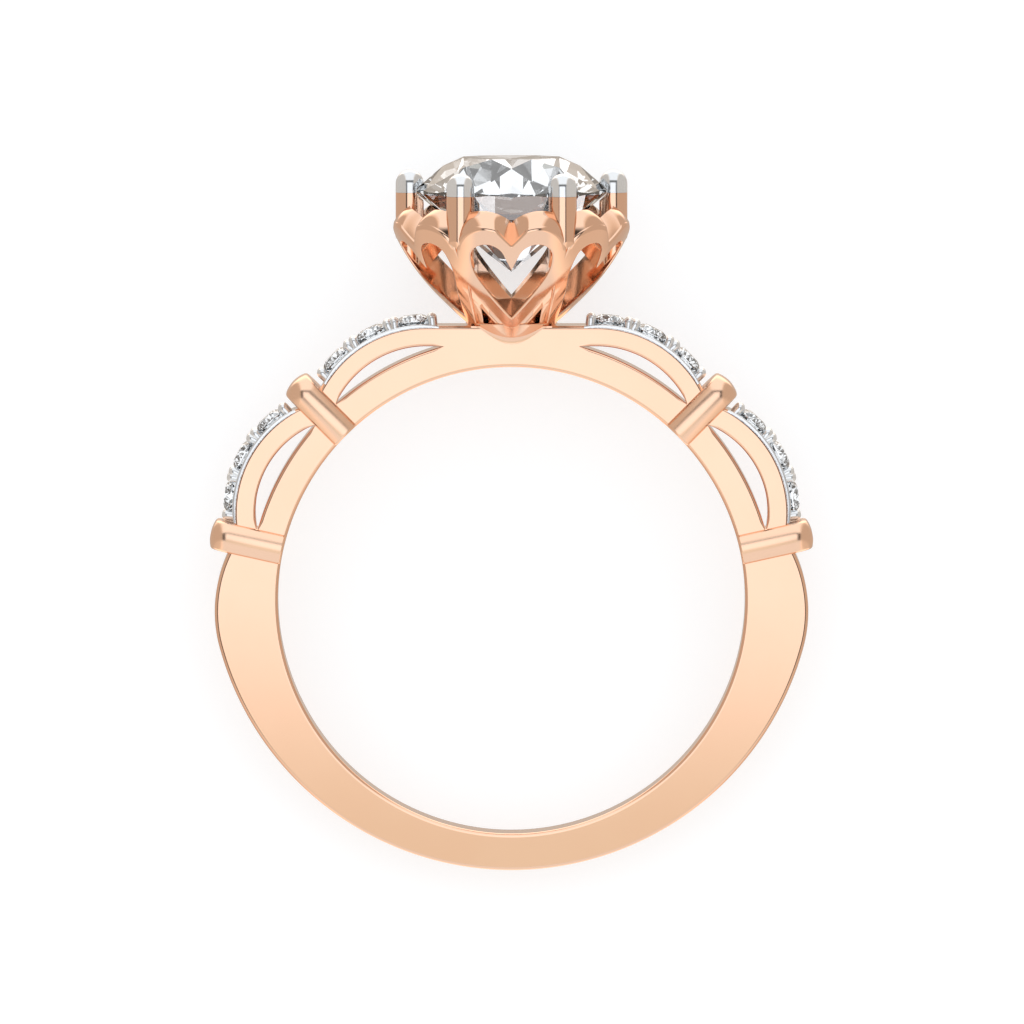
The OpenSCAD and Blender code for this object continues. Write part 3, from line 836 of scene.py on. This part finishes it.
def prongs(plated):
    """The six prongs' plated tops or the rest of them: a round wire with a half ball on top, whose lower end
    leans evenly from the outer level to the inner one. Points that would enter the stone are moved out to the
    stone's side."""
    n = PRONG_ROUND
    a = np.radians(np.arange(n) * 360 / n)
    z = PRONG_RING + PRONG_R * np.cos(a)
    shoulder = PRONG_TOP - PRONG_R
    share = (z - PRONG_RING + PRONG_R) / (2 * PRONG_R)
    end = PRONG_IN_END + (PRONG_OUT_END - PRONG_IN_END) * share
    if plated:
        levels = np.linspace(PLATED_FROM + PLATED_APART, shoulder, TIP_ROWS)[:, None] + np.zeros(n)
        arc = np.radians(np.linspace(0, 90, BALL_ROWS))[1:]
        radius = np.concatenate([np.ones(len(levels)), np.cos(arc)])
        levels = np.concatenate([levels, (shoulder + PRONG_R * np.sin(arc))[:, None] + np.zeros(n)])
    else:
        share = np.linspace(0, 1, PRONG_ROWS)[:, None]
        levels = end * (1 - share) + (PLATED_FROM - PLATED_APART) * share
        radius = np.ones(len(levels))
    x = PRONG_R * radius[:, None] * np.sin(a)
    z = PRONG_RING + PRONG_R * radius[:, None] * np.cos(a)
    points = np.stack([x, levels, z], -1)
    away = np.hypot(points[..., 0], points[..., 2])
    push = np.maximum(stone_side(points[..., 1]) / np.maximum(away, TINY), 1)
    points[..., 0] *= push
    points[..., 2] *= push
    points, faces = closed_run(points)
    return [(turned(points, 60 * k + 30), faces) for k in range(6)]


# Claws: radius, place along the row and across it, height over the arch and depth in it, and points round
# them and up their posts and balls
CLAW_R, CLAW_ALONG, CLAW_ACROSS, CLAW_H, CLAW_ROOT = 0.19, 0.7, 0.42, 0.38, 0.2
CLAW_ROUND, POST_ROWS, CLAW_BALL_ROWS = 20, 8, 7
# The room over an accent stone's girdle: how fast it narrows, and from which height over the girdle
CROWN_SLOPE, CROWN_FROM = 1.3, 0.045


def claws():
    """Round posts with ball tops, four round each accent stone, set on the arch. Points inside the stone's
    room, a cone up to its girdle and a narrowing one over it, are moved out to its side."""
    n = CLAW_ROUND
    a = np.radians(np.arange(n) * 360 / n)
    arc = np.radians(np.linspace(0, 90, CLAW_BALL_ROWS))
    post = np.linspace(-CLAW_ROOT, CLAW_H - CLAW_R, POST_ROWS + 1)[:-1]
    heights = np.concatenate([post, CLAW_H - CLAW_R + CLAW_R * np.sin(arc)])
    radii = np.concatenate([np.full(POST_ROWS, CLAW_R), CLAW_R * np.cos(arc)])
    parts = []
    for foot, up, along in row_places():
        for t in (-CLAW_ALONG, CLAW_ALONG):
            for z in (-CLAW_ACROSS, CLAW_ACROSS):
                p = t + radii[:, None] * np.cos(a)
                q = z + radii[:, None] * np.sin(a)
                h = heights[:, None] + np.zeros(n)
                over = h - ACCENT_RISE
                below = (over + ACCENT_DEPTH + SEAT_GAP) / ROOM_SLOPE
                above = ROOM_R - CROWN_SLOPE * (over - CROWN_FROM)
                room = np.clip(np.where(over < 0, below, above), 0, ROOM_R)
                push = np.maximum(room / np.maximum(np.hypot(p, q), TINY), 1)
                p, q = p * push, q * push
                flat = foot + p[..., None] * along + h[..., None] * up
                parts.append(closed_run(np.concatenate([flat, q[..., None]], -1)))
    return mirrored(parts, 0)


# Plated seats: full thickness and that at the ends, degrees over which it rises, depth in the arch, edge
# radius, how much narrower than the band they are, their spans, and points along and across half of them
PLATE_T, PLATE_THIN, PLATE_RISE, PLATE_UNDER = 0.06, 0.015, 9, 0.05
PLATE_EDGE, PLATE_INSET = 0.035, 0.012
PLATE_SPANS = ((-6.0, 58.5), (28.5, 95.0))
PLATE_ALONG, PLATE_ACROSS = 131, 21


def plates():
    """Plated seats along the four arches: a thin skin on the arch's outer side, drilled for the stones. Its
    thickness rises over the first and last few degrees of its span."""
    parts = []
    for (centre, out, _), (first, last) in zip(ROWS, PLATE_SPANS):
        turn = np.linspace(first, last, PLATE_ALONG)
        share = np.clip(np.minimum(turn - first, last - turn) / PLATE_RISE, 0, 1)
        thick = PLATE_THIN + (PLATE_T - PLATE_THIN) * share
        edge = PLATE_EDGE
        half = HALF_WIDTH - PLATE_INSET
        past = edge * np.sin(np.radians((30, 60, 90)))
        right = np.concatenate([np.linspace(0, half - edge, PLATE_ACROSS), half - edge + past, [half]])
        z = np.concatenate([-right[:0:-1], right])
        over = np.maximum(np.abs(z) - (half - edge), 0)
        fall = edge - np.sqrt(np.maximum(edge**2 - over**2, 0))
        height = thick[:, None] - fall[None, :]
        height[:, 0] = height[:, -1] = -EDGE
        up = direction(turn)
        depth = np.broadcast_to(z[None, :, None], height.shape + (1,))
        flat = centre + (out + height)[..., None] * up[:, None, :]
        top = drilled(np.concatenate([flat, depth], -1), 0)
        flat = centre + (out + np.minimum(height, 0) - PLATE_UNDER)[..., None] * up[:, None, :]
        under = drilled(np.concatenate([flat, depth], -1), PLATE_UNDER)
        parts.append(closed_run(np.concatenate([top, under[:, ::-1]], 1)))
    return mirrored(parts, 0)


ROSE_GOLD = polished_metal("rose_gold", rgba(0.945, 0.63, 0.46), rgba(0.935, 0.61, 0.44), 0.08)
SOFT_GOLD = polished_metal("rose_gold_soft", rgba(0.98, 0.67, 0.49), rgba(0.97, 0.65, 0.47), 0.2)
RHODIUM = polished_metal("rhodium", rgba(0.82, 0.85, 0.88), rgba(0.79, 0.82, 0.85), 0.06, 0.8)
DIAMOND = cut_diamond()

metal = [
    piece("band", band(), ROSE_GOLD),
    piece("heart_basket", heart_frames(), ROSE_GOLD),
    piece("foot", foot(), ROSE_GOLD),
    piece("seat", seat(), ROSE_GOLD),
    piece("prongs", prongs(False), ROSE_GOLD),
    piece("prong_tips", prongs(True), RHODIUM),
    piece("claws", claws(), RHODIUM),
    piece("plated_seats", plates(), RHODIUM),
]
for number, at in enumerate((COLLARS[0], COLLARS[1], -COLLARS[0], -COLLARS[1]), 1):
    metal.append(piece(f"collar_{number}", collar(at), SOFT_GOLD))
# The stones show the studio through themselves and not the metal behind them, as in the photo
for made in metal:
    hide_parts("ring_mounting")
    made.visible_transmission = False

for name, node in frame["nodes"].items():
    node.data.materials.clear()
    node.data.materials.append(ROSE_GOLD if name == "ring_mounting" else DIAMOND)


# Stage: a pale floor, a softbox overhead, and a studio with light past the head, the shank and the sides
def flat_sheet(name, size, height, material, middle=(0, 0)):
    """A square sheet of that size, level, at that height."""
    half = size / 2
    left, right = middle[0] - half, middle[0] + half
    near, far = middle[1] - half, middle[1] + half
    corners = [(left, near, height), (right, near, height), (right, far, height), (left, far, height)]
    mesh = bpy.data.meshes.new(name)
    mesh.from_pydata(corners, [], [(0, 1, 2, 3)])
    mesh.materials.append(material)
    made = bpy.data.objects.new(name, mesh)
    scene.collection.objects.link(made)
    return made


FLOOR_SIZE = 1.2
# Softbox: its height, middle and half side, and between which levels of y its light goes from dim to bright
SOFTBOX_H, SOFTBOX_Y, SOFTBOX_HALF = 0.06, -0.0122, 0.036
SOFTBOX_DIM, SOFTBOX_BRIGHT = 0.87, 1.28
SOFTBOX_TURN = (-0.025, -0.014)
# Distances from its middle, across and along, over which it fades out
SOFTBOX_FADE_X, SOFTBOX_FADE_Y = (0.018, 0.028), (0.024, 0.034)


def softbox_glow():
    """Light of the overhead softbox: strong and white over the head, softer and warm over the shank, and gone
    at its borders, where the sheet turns clear."""
    t = new_material("softbox_glow")
    x, y, _ = t.axes(t.node("ShaderNodeTexCoord", out="Object"))
    toward_head = t.step(y, *SOFTBOX_TURN)
    strength = SOFTBOX_DIM + (SOFTBOX_BRIGHT - SOFTBOX_DIM) * toward_head
    colour = t.mix(toward_head, rgba(1, 0.97, 0.86), rgba(1, 1, 1.02))
    glow = t.node("ShaderNodeEmission", None, {"Color": colour, "Strength": strength})
    clear = t.node("ShaderNodeBsdfTransparent")
    inside = t.step(t.math("ABSOLUTE", x), *SOFTBOX_FADE_X, 1, 0)
    inside = inside * t.step(t.math("ABSOLUTE", y - SOFTBOX_Y), *SOFTBOX_FADE_Y, 1, 0)
    t.out(t.node("ShaderNodeMixShader", None, {0: inside, 1: clear, 2: glow}))
    return t.owner


# The floor is for the camera: polished metal and stones show the studio's light from below in its place
floor = flat_sheet("floor", FLOOR_SIZE, 0.0, pale_floor())
floor.visible_glossy = False
floor.visible_transmission = False
softbox = flat_sheet("softbox", 2 * SOFTBOX_HALF, SOFTBOX_H, softbox_glow(), (0, SOFTBOX_Y))
softbox.visible_camera = False
softbox.visible_shadow = False


# Studio: the light of its dark middle, its sides, past the head, past the shank and from below
DARK, SIDE_LIGHT, HEAD_LIGHT, SHANK_LIGHT, LIGHT_BELOW = 0.04, 0.55, 1.1, 0.88, 0.5
# Between which parts of the view's direction the sides begin, and the lights toward head, shank and floor
SIDES = (0.44, 0.56)
HEAD_FROM, SHANK_FROM, BELOW_FROM = (0.3, 0.5), (-0.3, -0.5), (-0.2, -0.6)
# Between which parts across the head's and the shank's light fade, and the share of the shank's that stays
HEAD_FADE, SHANK_FADE, SHANK_STAYS = (0.42, 0.6), (0.42, 0.7), 0.15
# The bars that the stones show: how fast two waves run across and along, where the second starts, the
# limits between dark and bright, and the least and most light
WAVE, CROSS_WAVE, CROSS_START = (11, 5), (4, 9), 1.5
BARS_TURN, BARS_LIGHT = (-0.18, 0.22), (0.07, 1.3)


def studio():
    """World: bright past the head and the shank, warm and softer at the sides and from below, dark between
    them. The camera and the floor see plain white. What is seen through a stone is a weave of bright and dark
    bars, which gives its facets their sparkle."""
    world = bpy.data.worlds.new("studio")
    scene.world = world
    t = Tree(world)
    x, y, z = t.axes(t.node("ShaderNodeTexCoord", out="Generated"))
    side = t.math("ABSOLUTE", x)
    level = t.step(side, *SIDES, DARK, SIDE_LIGHT)
    level = level + t.step(y, *HEAD_FROM, 0, HEAD_LIGHT) * t.step(side, *HEAD_FADE, 1, 0)
    level = level + t.step(y, *SHANK_FROM, 0, SHANK_LIGHT) * t.step(side, *SHANK_FADE, 1, SHANK_STAYS)
    below = t.step(z, *BELOW_FROM) * t.step(side, *SIDES, 1, 0)
    level = level + below * LIGHT_BELOW
    seen = t.node("ShaderNodeLightPath", out="Is Camera Ray")
    plain = t.math("MAXIMUM", seen.beside("Is Diffuse Ray"), seen)
    bent = seen.beside("Is Transmission Ray")
    wave = t.math("SINE", x * WAVE[0] + y * WAVE[1])
    cross_wave = t.math("SINE", y * CROSS_WAVE[1] - x * CROSS_WAVE[0] + CROSS_START)
    bars = t.step(wave * cross_wave, *BARS_TURN, *BARS_LIGHT)
    level = level * (1 - bent) + bars * bent
    strength = level * (1 - plain) + plain
    warm = (t.step(side, *SIDES) + below) * (1 - plain) * (1 - bent)
    colour = t.mix(warm, rgba(1, 1, 1), rgba(1.1, 0.96, 0.83))
    t.out(
        t.node("ShaderNodeBackground", None, {"Color": colour, "Strength": strength}),
        "ShaderNodeOutputWorld",
    )


studio()

# Camera: a long lens over the ring, leaning toward the shank so that it looks nearly along the finger hole
VIEW_TURN = math.radians(4.488)
VIEW_WIDTH = 37.95 * MM
AIM_UP, AIM_ACROSS = 3.217, 0.0185
CAMERA_FAR = 0.9
toward_camera = Vector((0, -math.sin(VIEW_TURN), math.cos(VIEW_TURN)))
screen_up = Vector((0, math.cos(VIEW_TURN), math.sin(VIEW_TURN)))
aim = Vector(bore["pos_m"]) + screen_up * AIM_UP * MM + across * AIM_ACROSS * MM
lens = bpy.data.cameras.new("camera")
lens.sensor_width = 36
lens.lens = lens.sensor_width / 2 / (VIEW_WIDTH / 2 / CAMERA_FAR)
lens.clip_start = 0.01
lens.clip_end = 10
camera = bpy.data.objects.new("camera", lens)
camera.matrix_world = Matrix.Translation(aim + toward_camera * CAMERA_FAR) @ Matrix(
    (
        (1, 0, 0, 0),
        (0, screen_up.y, toward_camera.y, 0),
        (0, screen_up.z, toward_camera.z, 0),
        (0, 0, 0, 1),
    )
)
scene.collection.objects.link(camera)
scene.camera = camera

scene.view_settings.view_transform = "Standard"
scene.cycles.use_denoising = True
scene.cycles.max_bounces = 24
scene.cycles.transmission_bounces = 20
scene.cycles.glossy_bounces = 4
